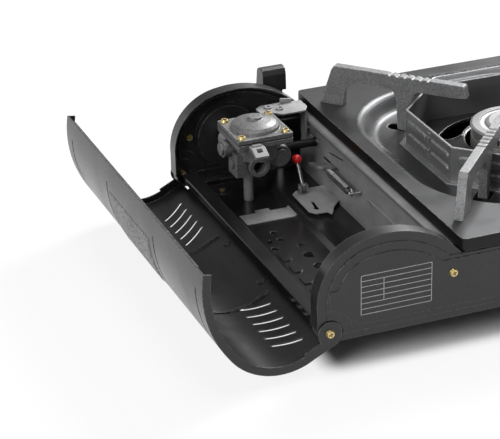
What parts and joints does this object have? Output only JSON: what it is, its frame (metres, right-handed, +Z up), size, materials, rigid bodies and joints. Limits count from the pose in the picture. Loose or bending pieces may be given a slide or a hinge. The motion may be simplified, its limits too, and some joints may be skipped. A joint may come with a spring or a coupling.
{
  "type": "butane cassette stove",
  "caption": "Table-top butane stove with an octagonal wind shield, cast pan supports, a burner, a cartridge bay with a valve unit, and an arched lid that stands open.",
  "frame": {"origin": "on the table, under the middle of the whole with its lid open", "axes": "+X from the burner towards the cartridge bay and its lid, +Y from the control knob towards the back, +Z up"},
  "size_m": [0.3774, 0.2917, 0.103],
  "materials": {
    "case_dark": "satin black-grey paint over pressed steel sheet",
    "case_black": "semi-gloss black paint",
    "lid_paint": "satin dark grey paint",
    "plate_grey": "mid-grey heat-proof enamel, satin",
    "shield_grey": "dark grey heat-proof coating, matte",
    "support_iron": "sand-cast, grey enamel, matte",
    "zinc_sheet": "zinc-plated sheet, dull",
    "cast_zinc": "die-cast, satin",
    "burner_alu": "cast aluminium, satin",
    "cap_alu": "turned aluminium, satin",
    "wire_steel": "bright zinc-plated wire",
    "brass_screw": "yellow-passivated",
    "black_plastic": "moulded, fine texture",
    "red_plastic": "glossy red",
    "black_rubber": "matte",
    "grey_plastic": "moulded light grey",
    "white_ceramic": "unglazed"
  },
  "bodies": {
    "case": {"base_pan": "case_black", "side_panel": "case_dark", "back_panel": "case_dark", "front_panel": "case_dark", "partition_wall": "zinc_sheet", "cartridge_rest": "zinc_sheet", "top_plate": "plate_grey", "wind_shield": "shield_grey", "pan_support_1": "support_iron", "pan_support_2": "support_iron", "pan_support_3": "support_iron", "pan_support_4": "support_iron", "mixing_tube": "burner_alu", "burner_head": "burner_alu", "burner_cap": "cap_alu", "gas_jet": "brass_screw", "gas_pipe": "wire_steel", "electrode": "white_ceramic", "electrode_lead": "black_rubber", "piezo_igniter": "grey_plastic", "valve_body": "cast_zinc", "valve_cover": "cast_zinc", "diaphragm": "black_rubber", "valve_screws": "brass_screw", "inlet_seal": "black_rubber", "cartridge_key": "grey_plastic", "valve_bracket": "zinc_sheet", "valve_post": "zinc_sheet", "latch_spring": "wire_steel", "spring_anchor": "wire_steel", "trip_pivot": "wire_steel", "feet": "black_rubber", "foot_screws": "brass_screw", "panel_screws": "brass_screw", "hinge_screws": "brass_screw"},
    "lid": {"lid_shell": "lid_paint", "lid_edge_strip": "lid_paint"},
    "knob": {"control_knob": "black_plastic", "valve_spindle": "wire_steel"},
    "lock_lever": {"lock_handle": "black_plastic", "lock_plate": "zinc_sheet"},
    "latch": {"latch_finger": "wire_steel"},
    "trip": {"trip_lever": "wire_steel", "trip_ball": "red_plastic"}
  },
  "joints": [
    {"name": "lid_hinge", "type": "hinge", "parent": "case", "child": "lid", "pos_m": [0.1069, 0, 0.028], "axis": [0, -1, 0], "range_deg": [0, 116.5]},
    {"name": "knob_turn", "type": "hinge", "parent": "case", "child": "knob", "pos_m": [0.0733, -0.12, 0.0519], "axis": [0, -1, 0], "range_deg": [0, 130]},
    {"name": "lever_slide", "type": "slide", "parent": "case", "child": "lock_lever", "axis": [0, 0, -1], "range_m": [0, 0.016]},
    {"name": "latch_slide", "type": "slide", "parent": "case", "child": "latch", "axis": [0, -1, 0], "range_m": [0, 0.012], "deforming": ["latch_spring"]},
    {"name": "trip_swing", "type": "hinge", "parent": "case", "child": "trip", "pos_m": [0.0403, -0.0548, 0.0292], "axis": [-1, 0, 0], "range_deg": [0, 20]}
  ],
  "couplings": [
    {"joint": "latch_slide", "follows": "lever_slide", "ratio": 0.75}
  ]
}
